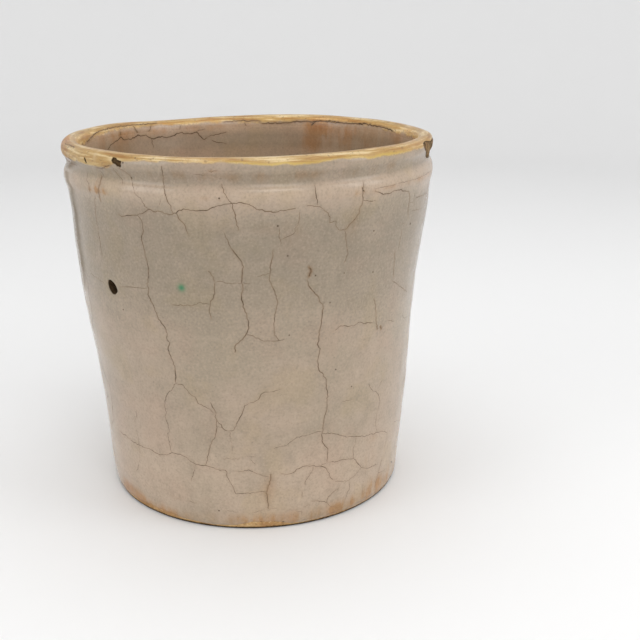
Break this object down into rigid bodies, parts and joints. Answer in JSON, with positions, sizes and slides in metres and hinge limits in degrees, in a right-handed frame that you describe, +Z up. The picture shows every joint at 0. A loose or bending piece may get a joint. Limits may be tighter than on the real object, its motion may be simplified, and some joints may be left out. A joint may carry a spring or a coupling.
{
  "type": "ceramic crock fermenter",
  "caption": "Round open-topped ceramic crock with gently tapered walls, a raised ring under a thick rolled lip and a bare clay foot, for salting and fermenting food or drink.",
  "frame": {"origin": "centre of the underside, on the plane that the foot stands on", "axes": "+Z up out of the mouth, along the axis that the pot was turned about; -Y is the front and +X is to the right seen from the front"},
  "size_m": [0.32, 0.32, 0.316],
  "materials": {
    "fired_clay": "matt",
    "outer_glaze": "gloss",
    "rim_glaze": "gloss",
    "inner_glaze": "gloss"
  },
  "bodies": {
    "root": {"clay_body": "fired_clay", "outer_glaze": "outer_glaze", "rim_glaze": "rim_glaze", "inner_glaze": "inner_glaze"}
  },
  "joints": []
}
